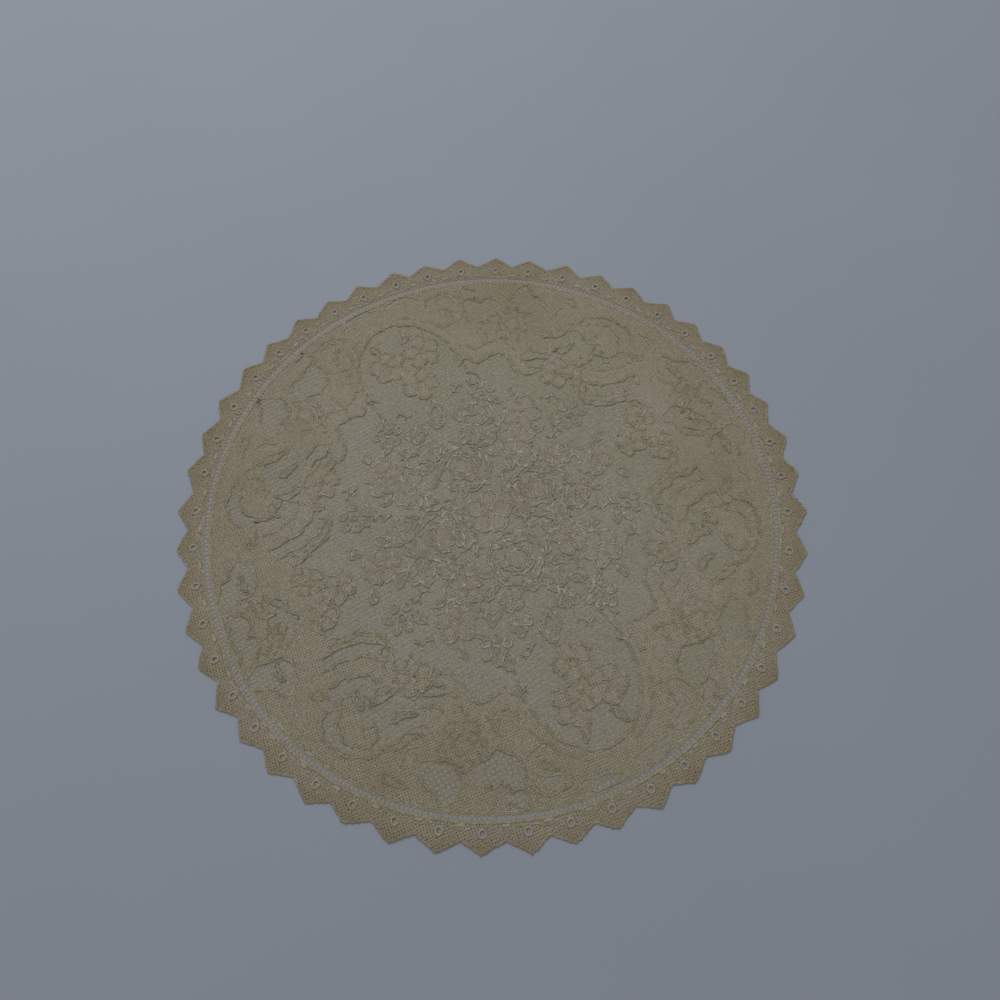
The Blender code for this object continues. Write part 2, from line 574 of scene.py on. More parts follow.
WOBBLES = (
    Wobble(0.55, 11.0, 15),
    Wobble(0.45, 6.7, 80),
    Wobble(0.36, 4.1, 140),
    Wobble(0.30, 2.9, 35),
)


def hand_drawn(points):
    """The same points in metres, wandering as a hand-guided needle does."""
    points = np.array(points, float)
    for wobble in WOBBLES:
        heading = math.radians(wobble.along_deg)
        travelled = points @ (math.cos(heading), math.sin(heading)) / (wobble.length_mm * MM)
        swing = wobble.amount_mm * MM * np.sin(2 * math.pi * travelled)
        points = points + swing[:, None] * (-math.sin(heading), math.cos(heading))
    return points


def placed(motif, number, fold_deg, side):
    """The motif's lines where this copy of it lies, in metres."""
    radius = motif.radius + NUDGE_MM * math.sin(OUT_BEAT * number)
    slide_deg = math.degrees(NUDGE_MM * math.sin(ALONG_BEAT * number) / motif.radius)
    angle = fold_deg + side * motif.off_deg + slide_deg
    spin = motif.turn_deg + NUDGE_DEG * math.sin(SPIN_BEAT * number)
    lines = []
    for line in motif.draw(motif.size):
        points = turn(line.points, spin) * (-side, 1) + (0.0, radius)
        lines.append(line._replace(points=hand_drawn(turn(points, angle - 90.0) * MM)))
    return lines


design = []
copy_number = 0
for fold_deg in FOLDS_DEG:
    for motif in map(Motif._make, QUARTER):
        sides = (1,) if motif.off_deg in (0, 90) else (1, -1)
        for side in sides:
            copy_number += 1
            design.extend(placed(motif, copy_number, fold_deg, side))
for line in five_petals(11.0):
    design.append(line._replace(points=hand_drawn(line.points * MM)))
print(copy_number + 1, "motifs,", len(design), "lines")

# %% [markdown]
# ## The wreath's edge
#
# The outer wreath is close cloth-work, broken by windows of open net.  Towards the
# middle it ends in a jagged ribbon, and between that and the ring of florets lies a
# star of open net.  The ribbon's corners are given for one quarter, as degrees off the
# long fold and radius in millimetres.

# %% Star line
STAR_CORNERS = (
    (0, 86), (15, 82), (19, 87), (23, 83), (26, 86), (31, 90), (35, 84), (37, 79), (41, 78), (46, 82),
    (52, 84), (58, 85), (61, 79), (66, 76), (71, 78), (75, 86), (78, 95), (83, 96), (86, 88), (90, 85),
)
RIBBON_WIDTH = 8.5


def star_radius(angle_deg):
    """Where the wreath begins at this angle, in millimetres."""
    off_deg = np.abs((np.asarray(angle_deg) - LONG_FOLD_DEG + 90) % 180 - 90)
    return np.interp(off_deg, *np.transpose(STAR_CORNERS))


def ribbon(start_off_deg, end_off_deg, out):
    """This stretch of the wreath's edge in all four quarters, moved out by so much."""
    off_deg = np.linspace(start_off_deg, end_off_deg, 4 * (end_off_deg - start_off_deg))
    lines = []
    for fold_deg in FOLDS_DEG:
        for side in (1, -1):
            angle_deg = fold_deg + side * off_deg
            points = polar((star_radius(angle_deg) + out) * MM, angle_deg)
            lines.append(stroke(hand_drawn(points)))
    return lines


round_deg = np.linspace(0, 360, 360, endpoint=False)
ribbons = ribbon(16, 90, 0.0) + ribbon(18, 47, RIBBON_WIDTH)
print(len(ribbons), "stretches of ribbon")

# %% [markdown]
# ## Which net goes where
#
# Every cell of the fine net is asked which shape its middle lies in.  The last shape
# drawn wins, as with paint.  The test counts how often a ray from the point crosses the
# outline, for all cells at once.  A Boolean on so many threads would be far slower.

# %% Inside tests
def inside(outline, points):
    """True for each point that lies inside the closed outline."""
    found = np.zeros(len(points), bool)
    low, high = outline.min(axis=0), outline.max(axis=0)
    near = np.flatnonzero(((points > low) & (points < high)).all(axis=1))
    if not len(near):
        return found
    x, y = points[near, 0], points[near, 1]
    crossed = np.zeros(len(near), bool)
    for (x1, y1), (x2, y2) in zip(outline, np.roll(outline, -1, axis=0)):
        if y1 == y2:
            continue
        over = (y1 > y) != (y2 > y)
        crossed ^= over & (x < x1 + (y - y1) / (y2 - y1) * (x2 - x1))
    found[near] = crossed
    return found


def is_cloth(points):
    """True for each point of the field that is cloth-work and not open net."""
    radius = np.hypot(points[:, 0], points[:, 1]) / MM
    angle_deg = np.degrees(np.arctan2(points[:, 1], points[:, 0]))
    cloth = radius > star_radius(angle_deg)
    for line in design:
        if line.closed and line.weave:
            cloth[inside(line.points, points)] = line.weave == "cloth"
    return cloth


# %% [markdown]
# ## Making a net
#
# A net is a flat grid turned to the lie of its threads.  The cells that aren't wanted
# are deleted, each crossing is moved a little, because stitched threads are never evenly
# spaced, and the rim is drawn on to the nearest outline.  Then the Wireframe modifier
# turns every edge into a thread, thinner where the net is worked slackly.  Its threads
# have a diamond section, which smooth shading rounds, at only 16 triangles a cell.

# %% Mesh helpers
def select_only(*pieces):
    """Selects these objects and nothing else, with the first one active."""
    bpy.ops.object.select_all(action="DESELECT")
    for piece in pieces:
        piece.select_set(True)
    bpy.context.view_layer.objects.active = pieces[0]


def read(items, name, width=1, kind=np.int32):
    """This property of all these mesh items, as rows of this width."""
    flat = np.empty(len(items) * width, kind)
    items.foreach_get(name, flat)
    return flat.reshape(-1, width)


def points_of(obj):
    return read(obj.data.vertices, "co", 3, np.float32).astype(float)


def set_points(obj, points):
    obj.data.vertices.foreach_set("co", np.asarray(points, np.float32).ravel())
    obj.data.update()


def triangle_count(obj):
    return sum(len(face.vertices) - 2 for face in obj.data.polygons)


def face_middles(obj):
    return read(obj.data.polygons, "center", 3, np.float32)[:, :2].astype(float)


def nearest_tree(spots):
    """A tree that finds the nearest of these flat points."""
    tree = KDTree(len(spots))
    for number, (x, y) in enumerate(spots):
        tree.insert((x, y, 0.0), number)
    tree.balance()
    return tree


# %% Net maker
SLACK_SLOW = ((0.21, 0.13, 0.6), (0.09, -0.25, 2.0))
SLACK_QUICK = ((0.62, -0.35, 0.0), (0.41, 0.57, 1.0))
SLACK_SLOW_SHARE = 0.40
SLACK_QUICK_SHARE = 0.30
SLACKER_TO_LEFT = 0.6
SLACKER_TO_NEAR = 0.45
SLACK_STEPS = 9
HEART_MM = 72
HEART_FADE_MM = 25
HEART_SHARE = 0.8
RIM_STEP = 0.3 * MM
SHARP_DEG = 60

random = np.random.default_rng(48)


def net_grid(name, pitch, lie_deg, radius):
    """A square grid with this pitch, turned so that its threads lie at this angle."""
    cells = int(2 * radius / pitch) + 2
    bpy.ops.mesh.primitive_grid_add(x_subdivisions=cells, y_subdivisions=cells, size=cells * pitch)
    grid = bpy.context.active_object
    grid.name = name
    grid.data.name = name
    flat = turn(points_of(grid)[:, :2], lie_deg)
    set_points(grid, np.column_stack([flat, np.zeros(len(flat))]))
    return grid


def delete_faces(obj, unwanted):
    """Deletes the faces that are marked."""
    select_only(obj)
    bpy.ops.object.mode_set(mode="EDIT")
    bpy.ops.mesh.select_all(action="DESELECT")
    bpy.ops.object.mode_set(mode="OBJECT")
    obj.data.polygons.foreach_set("select", unwanted)
    bpy.ops.object.mode_set(mode="EDIT")
    bpy.ops.mesh.select_mode(type="FACE")
    bpy.ops.mesh.delete(type="FACE")
    bpy.ops.object.mode_set(mode="OBJECT")


def settle(obj, jitter, outlines, reach):
    """Moves each crossing by up to `jitter`, and each rim point on to an outline in reach."""
    points = points_of(obj)
    points[:, :2] += random.uniform(-jitter, jitter, (len(points), 2))
    tree = nearest_tree(np.vstack([evenly(line, True, RIM_STEP) for line in outlines]))
    uses = np.bincount(read(obj.data.loops, "edge_index").ravel(), minlength=len(obj.data.edges))
    for number in np.unique(read(obj.data.edges, "vertices", 2)[uses == 1]):
        spot, _, distance = tree.find(points[number])
        if distance < reach:
            points[number, :2] = spot[:2]
    set_points(obj, points)


def ripple(x, y, waves):
    """Waves multiplied together.  Each has its radians a mm along x and y, and its start."""
    product = 1.0
    for per_x, per_y, start in waves:
        product = product * np.sin(per_x * x + per_y * y + start)
    return product


def slackness(flat, at_heart):
    """How slackly a net is worked, 0 to 1: in patches, more at the near left, and in the
    middle of the doily close to `at_heart`."""
    x, y = flat.T / MM
    patchy = (
        0.5 + SLACK_SLOW_SHARE * ripple(x, y, SLACK_SLOW) + SLACK_QUICK_SHARE * ripple(x, y, SLACK_QUICK)
        - (SLACKER_TO_LEFT * x + SLACKER_TO_NEAR * y) / 100
    )
    heart = np.clip((HEART_MM - np.hypot(x, y)) / HEART_FADE_MM, 0, 1)
    return np.clip(patchy + (at_heart - patchy) * HEART_SHARE * heart, 0, 1)


def into_threads(obj, width, height, middle_z, thin=1.0, at_heart=0.5):
    """Makes each edge a thread this wide and high, its middle at this level.  Where the
    net is slackest its threads are narrower by the factor `thin`."""
    slack = np.round(SLACK_STEPS * slackness(points_of(obj)[:, :2], at_heart)).astype(int)
    close = obj.vertex_groups.new(name="close")
    for step in range(SLACK_STEPS + 1):
        close.add(np.flatnonzero(slack == step).tolist(), 1.0 - step / SLACK_STEPS, "REPLACE")
    select_only(obj)
    wire = obj.modifiers.new("threads", "WIREFRAME")
    wire.thickness = width
    wire.use_even_offset = False
    wire.use_boundary = True
    wire.vertex_group = close.name
    wire.thickness_vertex_group = thin
    bpy.ops.object.modifier_apply(modifier=wire.name)
    points = points_of(obj)
    points[:, 2] = middle_z + points[:, 2] * height / width
    set_points(obj, points)
    obj.data.shade_smooth()
    obj.data.set_sharp_from_angle(angle=math.radians(SHARP_DEG))
    print(obj.name, triangle_count(obj), "triangles")


# %% [markdown]
# ## The ground net
#
# The ground is an open square net of soft threads, washed flat.  It lies lowest of all,
# all but on the table, so the lit table shows pale through its holes.  It covers the
# whole field inside the ladder, also under the cloth-work, which is stitched over it.

# %% Ground net
FIELD_RADIUS = 133.7 * MM
GROUND_PITCH = 2.13 * MM
GROUND_LIE_DEG = 28.0
GROUND_JITTER = 0.09 * GROUND_PITCH
GROUND_THREAD = 2.04 * MM
GROUND_HEIGHT = 0.16 * MM
GROUND_LEVEL = 0.09 * MM

field_rim = polar(FIELD_RADIUS, round_deg)
ground_net = net_grid("ground_net", GROUND_PITCH, GROUND_LIE_DEG, FIELD_RADIUS)
delete_faces(ground_net, np.hypot(*face_middles(ground_net).T) > FIELD_RADIUS - 0.5 * GROUND_PITCH)
settle(ground_net, GROUND_JITTER, [field_rim], GROUND_PITCH)
into_threads(ground_net, GROUND_THREAD, GROUND_HEIGHT, GROUND_LEVEL, thin=0.78, at_heart=0.5)

# %% [markdown]
# ## The cloth-work
#
# Cloth-work is the same stitch at little more than half the spacing, so its holes are
# only dark specks.  One mesh of it would pass 200,000 triangles, so it is made in three
# slices like a cake.

# %% Cloth-work
CLOTH_PITCH = 1.20 * MM
CLOTH_LIE_DEG = 20.0
CLOTH_JITTER = 0.12 * CLOTH_PITCH
CLOTH_THREAD = 1.27 * MM
CLOTH_HEIGHT = 0.24 * MM
CLOTH_LEVEL = 0.32 * MM
SLICES = 3

shape_outlines = [line.points for line in design if line.closed and line.weave]
shape_outlines += [hand_drawn(polar(star_radius(round_deg) * MM, round_deg)), field_rim]
cloth_pieces = []
for number in range(SLICES):
    cloth = net_grid(f"cloth_work_{number + 1}", CLOTH_PITCH, CLOTH_LIE_DEG, FIELD_RADIUS)
    middles = face_middles(cloth)
    around = (np.degrees(np.arctan2(middles[:, 1], middles[:, 0])) + 360) % 360
    wanted = np.floor(around / (360 / SLICES)) == number
    wanted &= np.hypot(*middles.T) < FIELD_RADIUS - 0.3 * CLOTH_PITCH
    wanted[wanted] = is_cloth(middles[wanted])
    delete_faces(cloth, ~wanted)
    settle(cloth, CLOTH_JITTER, shape_outlines, 0.75 * CLOTH_PITCH)
    into_threads(cloth, CLOTH_THREAD, CLOTH_HEIGHT, CLOTH_LEVEL, thin=0.85, at_heart=0.9)
    cloth_pieces.append(cloth)

# %% [markdown]
# ## The border net
#
# Outside the ladder the same close stitch runs out to the points.  Cells in an eyelet
# are left out, and the rim is drawn on to the zigzag and the eyelets.  The zigzag lies
# a little inside the real edge, to leave room for the cord that binds it.

# %% Border net
BORDER_INNER = 137.3 * MM
BORDER_THREAD = 1.20 * MM
BORDER_LEVEL = 0.24 * MM
EYELET_RING = 1.45 * MM
EDGE_INSET = 0.6 * MM
EDGE_STEP = 0.9 * MM
EDGE_WANDER = 0.22

zigzag = evenly(edge_outline(), True, EDGE_STEP) * (1 - EDGE_INSET / TIP_RADIUS)
zigzag += EDGE_WANDER * (hand_drawn(zigzag) - zigzag)
eyelets = [polar(*eyelet_centre(index))[0] for index in range(POINT_COUNT)]
eyelet_rims = [polar(EYELET_RING, np.arange(0, 360, 15)) + middle for middle in eyelets]
border_net = net_grid("border_net", CLOTH_PITCH, CLOTH_LIE_DEG, TIP_RADIUS)
middles = face_middles(border_net)
wanted = (np.hypot(*middles.T) > BORDER_INNER) & inside(zigzag, middles)
for rim in eyelet_rims:
    wanted &= ~inside(rim, middles)
delete_faces(border_net, ~wanted)
border_rims = [zigzag, polar(BORDER_INNER, round_deg), *eyelet_rims]
settle(border_net, CLOTH_JITTER, border_rims, 0.9 * CLOTH_PITCH)
into_threads(border_net, BORDER_THREAD, CLOTH_HEIGHT, BORDER_LEVEL, thin=0.94)

# %% [markdown]
# ## The ladder
#
# A row of 416 small openings between two rails goes round the field.  A circle with a
# point for each bar is extruded and scaled outwards, and the Wireframe modifier makes
# rails and bars at once.

# %% Ladder
BAR_COUNT = 416
LADDER_INNER = 134.3 * MM
LADDER_OUTER = 136.9 * MM
LADDER_THREAD = 1.44 * MM
LADDER_HEIGHT = 0.18 * MM
LADDER_LEVEL = 0.12 * MM

bpy.ops.mesh.primitive_circle_add(vertices=BAR_COUNT, radius=LADDER_INNER)
ladder = bpy.context.active_object
ladder.name = "ladder"
bpy.ops.object.mode_set(mode="EDIT")
bpy.ops.mesh.select_all(action="SELECT")
bpy.ops.mesh.extrude_edges_move()
bpy.ops.transform.resize(value=(LADDER_OUTER / LADDER_INNER, LADDER_OUTER / LADDER_INNER, 1.0))
bpy.ops.object.mode_set(mode="OBJECT")
into_threads(ladder, LADDER_THREAD, LADDER_HEIGHT, LADDER_LEVEL)

# %% [markdown]
# ## Cords
#
# The raised cord is a bundle of threads oversewn along each outline: a curve with a
# round bevel, made a mesh.  Its radius changes from point to point and its line wavers,
# which gives the knotty look of oversewing, and now and then a stitch stands up as a
# knot or a thread end sticks out.  Wear presses the cords flatter on the far side.

# %% Cord maker
CORD_STEP = 1.05 * MM
CORD_LEVEL = 0.47 * MM
WREATH_CORD_LEVEL = 0.48 * MM
CORD_FLATNESS = 0.58
CORD_WAVER = 0.20 * MM
CORD_THINNEST = 0.70
CORD_THICKEST = 1.15
KNOT_SHARE = 0.06
KNOT_SIZE = 1.45
SPUR_GAP = 10.0 * MM
SPUR_LENGTH = 1.5 * MM
WEAR = 0.13 * MM
WEAR_TO_FAR = 0.0027
WEAR_WAVES = ((0.93, 0.41, 0.0), (0.37, -1.12, 1.0))


def with_spurs(lines):
    """The lines, and short thread ends that stick out from them here and there."""
    spurs = []
    for line in lines:
        points = evenly(line.points, line.closed, CORD_STEP)
        for number in np.flatnonzero(random.random(len(points)) < CORD_STEP / SPUR_GAP):
            before, after = points[number - 1], points[(number + 1) % len(points)]
            heading = (after - before) / max(np.hypot(*(after - before)), 1e-9)
            across = np.array([-heading[1], heading[0]]) * random.choice([-1.0, 1.0])
            tip = points[number] + SPUR_LENGTH * random.uniform(0.6, 1.2) * (across + 0.5 * heading)
            spurs.append(stroke(np.array([points[number], tip]), FINE_MM))
    return [*lines, *spurs]


def sunk(points):
    """How deep the cord lies in the net: it dips and rises every few millimetres."""
    x, y = np.transpose(points) / MM
    return WEAR * (1 + WEAR_TO_FAR * y) * (1 + ripple(x, y, WEAR_WAVES))


def lay_cords(name, lines, level=CORD_LEVEL, knot_share=KNOT_SHARE):
    """One mesh of all these lines as cords."""
    drawing = bpy.data.curves.new(name, "CURVE")
    drawing.dimensions = "3D"
    drawing.bevel_depth = 1.0
    drawing.bevel_resolution = 1
    drawing.use_fill_caps = True
    for line in lines:
        points = evenly(line.points, line.closed, CORD_STEP)
        points = points + random.uniform(-CORD_WAVER, CORD_WAVER, points.shape)
        spline = drawing.splines.new("POLY")
        spline.points.add(len(points) - 1)
        rows = np.column_stack([points, level - sunk(points), np.ones(len(points))])
        spline.points.foreach_set("co", rows.ravel())
        thickness = random.uniform(CORD_THINNEST, CORD_THICKEST, len(points))
        thickness[random.random(len(points)) < knot_share] *= KNOT_SIZE
        spline.points.foreach_set("radius", thickness * line.cord * MM / 2)
        spline.use_cyclic_u = line.closed
    cords = bpy.data.objects.new(name, drawing)
    bpy.context.scene.collection.objects.link(cords)
    select_only(cords)
    bpy.ops.object.convert(target="MESH")
    cords = bpy.context.active_object
    cords.data.name = name
    points = points_of(cords)
    points[:, 2] = level + (points[:, 2] - level) * CORD_FLATNESS
    set_points(cords, points)
    cords.data.shade_smooth()
    print(name, triangle_count(cords), "triangles")
    return cords


# %% Cords of the design
HEART_ENDS_MM = 48
GARLAND_ENDS_MM = 73

heart, garland, wreath = [], [], []
for line in design:
    reach = np.hypot(*line.points.T).mean() / MM
    if line.cord and reach < HEART_ENDS_MM:
        heart.append(line)
    elif line.cord and reach < GARLAND_ENDS_MM:
        garland.append(line)
    elif line.cord:
        wreath.append(line)
heart_cords = lay_cords("heart_cords", with_spurs(heart))
garland_cords = lay_cords("garland_cords", with_spurs(garland))
wreath_cords = lay_cords("wreath_cords", with_spurs([*wreath, *ribbons]), level=WREATH_CORD_LEVEL)

# %% [markdown]
# ## The edge and the border's ornaments
#
# A cord with tiny loops binds the zigzag edge.  Each point holds an eyelet, oversewn
# all round and tied to a scalloped line.  The line is low at the eyelets and arches
# outwards over the small padded leaf between each two of them.  A plain rail of cord
# lies along each side of the ladder.

# %% Edge cord
EDGE_CORD_MM = 0.74
EDGE_CORD_LEVEL = 0.32 * MM
EDGE_KNOT_SHARE = 0.12
LOOP_HEIGHT = 0.52 * MM
LOOP_BEAT = 2.1

edge_line = evenly(zigzag, True, EDGE_STEP)
loops = 1 + LOOP_HEIGHT / TIP_RADIUS * np.sign(np.sin(np.arange(len(edge_line)) * LOOP_BEAT))
edge_lines = [shape(edge_line * loops[:, None], None, EDGE_CORD_MM)]
edge_cord = lay_cords("edge_cord", edge_lines, level=EDGE_CORD_LEVEL, knot_share=EDGE_KNOT_SHARE)

# %% Scalloped line and rails
SCALLOP_MM = 138.8
SCALLOP_RISE_MM = 1.6
BORDER_CORD_LEVEL = 0.42 * MM

scallop_deg = np.linspace(0, 360, POINT_COUNT * 12, endpoint=False)
swing = np.sin(np.radians((scallop_deg - FIRST_TIP_DEG) * POINT_COUNT / 2)) ** 4
border_lines = [
    shape(polar((SCALLOP_MM + SCALLOP_RISE_MM * swing) * MM, scallop_deg), None, 0.5),
    shape(polar(BORDER_INNER + 0.2 * MM, round_deg), None, 0.5),
    shape(polar(FIELD_RADIUS - 0.5 * MM, round_deg), None, 0.6),
]
border_cords = lay_cords("border_cords", border_lines, level=BORDER_CORD_LEVEL)

# %% Eyelets and padded leaves, modelled once and copied round
RING_CORD_RADIUS = 0.50 * MM
RING_SCALE = (1.0, 1.15, 0.55)
TIE_PLACE = (0.5 * MM, -2.4 * MM, 0.0)
TIE_SCALE = (0.34, 0.85, 0.28)
LEAF_RADIUS = 138.5 * MM
LEAF_SCALE = (2.0, 0.80, 0.18)
ORNAMENT_LEVEL = 0.43 * MM


def one_ornament():
    """An eyelet's ring, the thread that ties it to the scalloped line, and a leaf."""
    bpy.ops.mesh.primitive_torus_add(
        major_radius=EYELET_RING, minor_radius=RING_CORD_RADIUS, major_segments=16, minor_segments=6
    )
    ring_part = bpy.context.active_object
    ring_part.scale = RING_SCALE
    bpy.ops.mesh.primitive_uv_sphere_add(segments=6, ring_count=5, radius=MM, location=TIE_PLACE)
    tie = bpy.context.active_object
    tie.scale = TIE_SCALE
    valley = math.radians(POINT_STEP_DEG / 2)
    leaf_place = (LEAF_RADIUS * math.sin(valley), LEAF_RADIUS * math.cos(valley) - EYELET_RADIUS, 0.0)
    bpy.ops.mesh.primitive_uv_sphere_add(segments=10, ring_count=6, radius=MM, location=leaf_place)
    padded = bpy.context.active_object
    padded.scale = LEAF_SCALE
    padded.rotation_euler[2] = -valley
    select_only(ring_part, tie, padded)
    bpy.ops.object.transform_apply(location=True, rotation=True, scale=True)
    bpy.ops.object.join()
    return ring_part


first = one_ornament()
copies = []
for index in range(POINT_COUNT):
    radius, angle_deg = eyelet_centre(index)
    copy = first.copy()
    copy.data = first.data.copy()
    bpy.context.scene.collection.objects.link(copy)
    turned = Matrix.Rotation(math.radians(angle_deg - 90.0), 4, "Z")
    copy.data.transform(turned @ Matrix.Translation((0.0, radius, ORNAMENT_LEVEL)))
    copies.append(copy)
bpy.data.objects.remove(first)
select_only(*copies)
bpy.ops.object.join()
eyelet_rings = bpy.context.active_object
eyelet_rings.name = "eyelet_rings"
eyelet_rings.data.name = "eyelet_rings"
eyelet_rings.data.shade_smooth()
print("eyelets and leaves:", triangle_count(eyelet_rings), "triangles")

# %% [markdown]
# ## The lie of the cloth
#
# Every piece goes through the pull of the cloth and is lifted by the same low swells,
# because washed lace never lies dead flat.  The tips curl up a touch more than the field.
# Before that, each point of a net is told how near a cord it is, for the painted shade along the foot of
# each cord.

# %% Lay every piece
PIECES = [
    ground_net, *cloth_pieces, border_net, ladder,
    heart_cords, garland_cords, wreath_cords, edge_cord, border_cords, eyelet_rings,
]
Swell = namedtuple("Swell", "height across_mm along_deg start_deg")
SWELLS = (
    Swell(0.05, 95, 20, 40),
    Swell(0.04, 61, 105, 200),
    Swell(0.03, 37, 62, 10),
)
TIP_CURL = 0.32 * MM
CURL_FROM_MM = 130.0
CURL_OVER_MM = 14.0
CURL_WAVES = 7
# How far the painted shade along a cord reaches.
CORD_SHADE_REACH = 0.9 * MM
CORD_HALF = 0.3 * MM


def lift(flat):
    """How high the cloth is raised off the table at these points."""
    height = np.zeros(len(flat))
    for swell in SWELLS:
        heading = math.radians(swell.along_deg)
        travelled = flat @ (math.cos(heading), math.sin(heading)) / (swell.across_mm * MM)
        wave = np.sin(2 * math.pi * travelled + math.radians(swell.start_deg))
        height += swell.height * MM * (1 + wave) / 2
    rim = np.clip((np.hypot(*flat.T) / MM - CURL_FROM_MM) / CURL_OVER_MM, 0, 1)
    angle = np.arctan2(flat[:, 1], flat[:, 0])
    return height + rim * rim * TIP_CURL * (2 + np.sin(CURL_WAVES * angle + 1.0)) / 3


def add_top_map(obj, name="OFBake"):
    """A UV map that looks straight down on the whole doily."""
    layer = obj.data.uv_layers.new(name=name)
    flat = points_of(obj)[read(obj.data.loops, "vertex_index").ravel(), :2]
    layer.data.foreach_set("uv", (flat / (2.1 * TIP_RADIUS) + 0.5).astype(np.float32).ravel())


def add_painted_cord_shade(obj):
    """How much painted shade each point gets: 1 at the foot of a cord and 0 away from it."""
    distance = np.array([cord_tree.find((x, y, 0.0))[2] for x, y, _ in points_of(obj)])
    painted_cord_shade = np.clip(1.0 - (distance - CORD_HALF) / CORD_SHADE_REACH, 0, 1)
    layer = obj.data.attributes.new("painted_cord_shade", "FLOAT", "POINT")
    layer.data.foreach_set("value", painted_cord_shade.astype(np.float32))


corded = [line for line in [*design, *ribbons] if line.cord]
cord_tree = nearest_tree(np.vstack([evenly(line.points, line.closed, 0.7 * MM) for line in corded]))
# Painted shade along the foot of each cord, on the ground net and the cloth-work.
for piece in (ground_net, *cloth_pieces):
    add_painted_cord_shade(piece)

for piece in PIECES:
    points = points_of(piece)
    points[:, 2] += lift(points[:, :2])
    points[:, :2] = pulled(points[:, :2])
    set_points(piece, points)
    add_top_map(piece)
print("in all", sum(triangle_count(piece) for piece in PIECES), "triangles")

# %% [markdown]
# ## Cotton
#
# The yarn is two-ply cotton, dyed ecru and aged: matt, with a faint bloom of loose
# fibre, which is the sheen.  Age shows as slow changes of tone, a yellower rim and a few
# tea-coloured stains.  The two stains on the far side are also painted shade, which
# darkens where the lamp lights the doily most.  Along the foot of every cord a dark
# brown is painted as shade.  The cords of the wreath are a shade browner than the others.
# The ply is too fine to be seen from here, so its bump is drawn a few times too coarse.

# %% Cotton yarn
StainAndShade = namedtuple("StainAndShade", "radius angle_deg size depth")
# The first two, on the far side, are painted shade as well as stains: they darken where the lamp lights
# the doily most.
STAINS_AND_FAR_SHADE = (
    StainAndShade(122, 84, 34, 0.28),
    StainAndShade(104, 72, 22, 0.12),
    StainAndShade(108, -96, 36, 0.16),
    StainAndShade(128, -112, 24, 0.16),
    StainAndShade(130, 170, 22, 0.06),
    StainAndShade(108, 8, 30, 0.22),
)
SoiledRing = namedtuple("SoiledRing", "ease start end depth")
SOILED_RINGS = (
    SoiledRing("SMOOTHSTEP", 70, 150, 0.38),
    SoiledRing("LINEAR", 140, 147, 0.35),
)
# Painted shade along the cords: its dark brown, and how much of it is mixed in.
CORD_SHADE_HEX = "#6f6347"
CORD_SHADE_SHARE = 0.15
DRIFT_SIZE = 38 * MM
SPECKLE_SIZE = 2.4 * MM
PATCH_SIZE = 11 * MM
PLY_SIZE = 0.6 * MM
PLY_DEPTH = 0.15 * MM
COLOURS = {"data_type": "RGBA"}
MULTIPLY = {"operation": "MULTIPLY"}


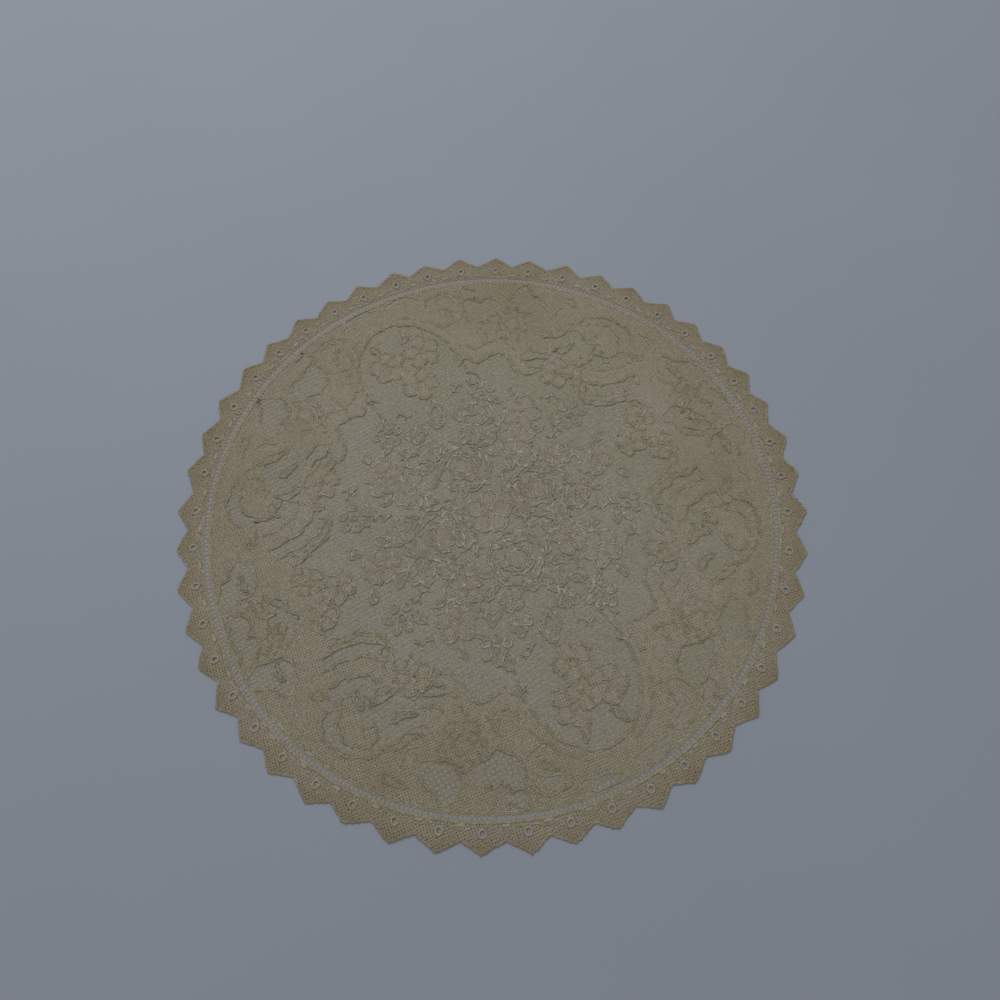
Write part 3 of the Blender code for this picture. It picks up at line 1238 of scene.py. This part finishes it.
def cotton(name, pale_hex, deep_hex, stain_and_shade_hex, drift, tone_from, tone_to):
    """Ecru cotton yarn between a deep and a pale tone, with the shared stains, the painted shade on the
    far side and the painted shade along the cords.
    """
    material, tree, output = new_material(name)
    place = add_node(tree, "TexCoord").outputs["Object"]
    slow = add_node(tree, "TexNoise", Vector=place, Scale=1 / DRIFT_SIZE, Detail=2.0)
    quick = add_node(tree, "TexNoise", Vector=place, Scale=1 / SPECKLE_SIZE, Detail=2.0)
    tone = add_node(tree, "Math", {"operation": "MULTIPLY_ADD"}, i0=slow, i1=drift, i2=quick)
    share = add_node(tree, "MapRange", Value=tone, From_Min=tone_from, From_Max=tone_to)
    base = add_node(tree, "Mix", COLOURS, i0=share, i6=linear(deep_hex), i7=linear(pale_hex))
    flat = add_node(tree, "VectorMath", MULTIPLY, i0=place, i1=(1.0, 1.0, 0.0))
    from_middle = add_node(tree, "VectorMath", {"operation": "LENGTH"}, i0=flat)
    soil_and_shade_masks = []
    for soil in SOILED_RINGS:
        soil_and_shade_masks.append(add_node(
            tree, "MapRange", {"interpolation_type": soil.ease}, Value=from_middle,
            From_Min=soil.start * MM, From_Max=soil.end * MM, To_Max=soil.depth,
        ))
    # Stains as soft round spots; on the far side they are also painted shade.
    for stain_and_shade in STAINS_AND_FAR_SHADE:
        spot = polar(stain_and_shade.radius * MM, stain_and_shade.angle_deg)[0]
        away = add_node(tree, "VectorMath", {"operation": "DISTANCE"}, i0=flat, i1=(*spot, 0.0))
        soil_and_shade_masks.append(add_node(
            tree, "MapRange", {"interpolation_type": "SMOOTHSTEP"}, Value=away,
            From_Min=stain_and_shade.size * MM, From_Max=0.1 * stain_and_shade.size * MM, To_Max=stain_and_shade.depth,
        ))
    soil_and_shade_sum = soil_and_shade_masks[0]
    for soil in soil_and_shade_masks[1:]:
        soil_and_shade_sum = add_node(tree, "Math", {"operation": "ADD"}, i0=soil_and_shade_sum, i1=soil)
    patchy = add_node(tree, "TexNoise", Vector=place, Scale=1 / PATCH_SIZE, Detail=3.0)
    patch = add_node(tree, "MapRange", Value=patchy, From_Min=0.3, From_Max=0.7, To_Min=0.7, To_Max=1.15)
    soil_and_shade_mask = add_node(tree, "Math", {**MULTIPLY, "use_clamp": True}, i0=soil_and_shade_sum, i1=patch)
    # The stains and the painted shade on the far side are mixed in here.
    stained_and_shaded = add_node(tree, "Mix", COLOURS, i0=soil_and_shade_mask, i6=base, i7=linear(stain_and_shade_hex))
    # Painted shade: the net turns towards dark brown at the foot of each cord.
    foot = add_node(tree, "Attribute", {"attribute_name": "painted_cord_shade"}).outputs["Fac"]
    cord_shade_amount = add_node(tree, "Math", MULTIPLY, i0=foot, i1=CORD_SHADE_SHARE)
    with_cord_shade = add_node(tree, "Mix", COLOURS, i0=cord_shade_amount, i6=stained_and_shaded, i7=linear(CORD_SHADE_HEX))
    ply = add_node(tree, "TexNoise", Vector=place, Scale=1 / PLY_SIZE, Detail=1.0)
    fibre = add_node(tree, "MapRange", Value=ply, From_Min=0.3, From_Max=0.7, To_Min=0.78, To_Max=1.17)
    colour = add_node(tree, "VectorMath", {"operation": "SCALE"}, i0=with_cord_shade, Scale=fibre)
    bump = add_node(tree, "Bump", Strength=0.7, Distance=PLY_DEPTH, Height=ply)
    shader = add_node(
        tree, "BsdfPrincipled", Base_Color=colour, Roughness=0.88, Specular_IOR_Level=0.25,
        Sheen_Weight=0.18, Sheen_Roughness=0.5, Normal=bump,
    )
    tree.links.new(shader.outputs["BSDF"], output.inputs["Surface"])
    return material


# %% Give each piece its yarn
NET_TONE = (0.6, 0.60, 1.00)
YARNS = (
    ("ecru_net_cotton", "#cfc3a6", "#c2b695", "#b1a079", NET_TONE, [ground_net]),
    ("ecru_cloth_cotton", "#d6cab3", "#c9bc9f", "#b4a17b", NET_TONE, [*cloth_pieces, border_net, ladder]),
    ("ecru_cord_cotton", "#efe6d2", "#c6bba0", "#b1a079", (0.2, 0.57, 0.77),
     [heart_cords, garland_cords, edge_cord, border_cords]),
    ("ecru_wreath_cord_cotton", "#e8dec6", "#c0b393", "#a89670", (0.2, 0.57, 0.80), [wreath_cords]),
    ("ecru_ornament_cotton", "#e2d8c1", "#d0c5aa", "#c0af8a", NET_TONE, [eyelet_rings]),
)
for name, pale_hex, deep_hex, stain_and_shade_hex, tone, pieces in YARNS:
    yarn = cotton(name, pale_hex, deep_hex, stain_and_shade_hex, *tone)
    for piece in pieces:
        piece.data.materials.clear()
        piece.data.materials.append(yarn)
    print(name, "on", len(pieces), "pieces")

# %% [markdown]
# ## Riding on one body
#
# All pieces ride on the one body and stand for the plain sheet of the CAD model.  The
# ground net is a round of net lying flat on the table, with the other pieces stitched to
# it.

# %% Ride and finish
for piece in PIECES:
    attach(piece, "root")
    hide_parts("doily")
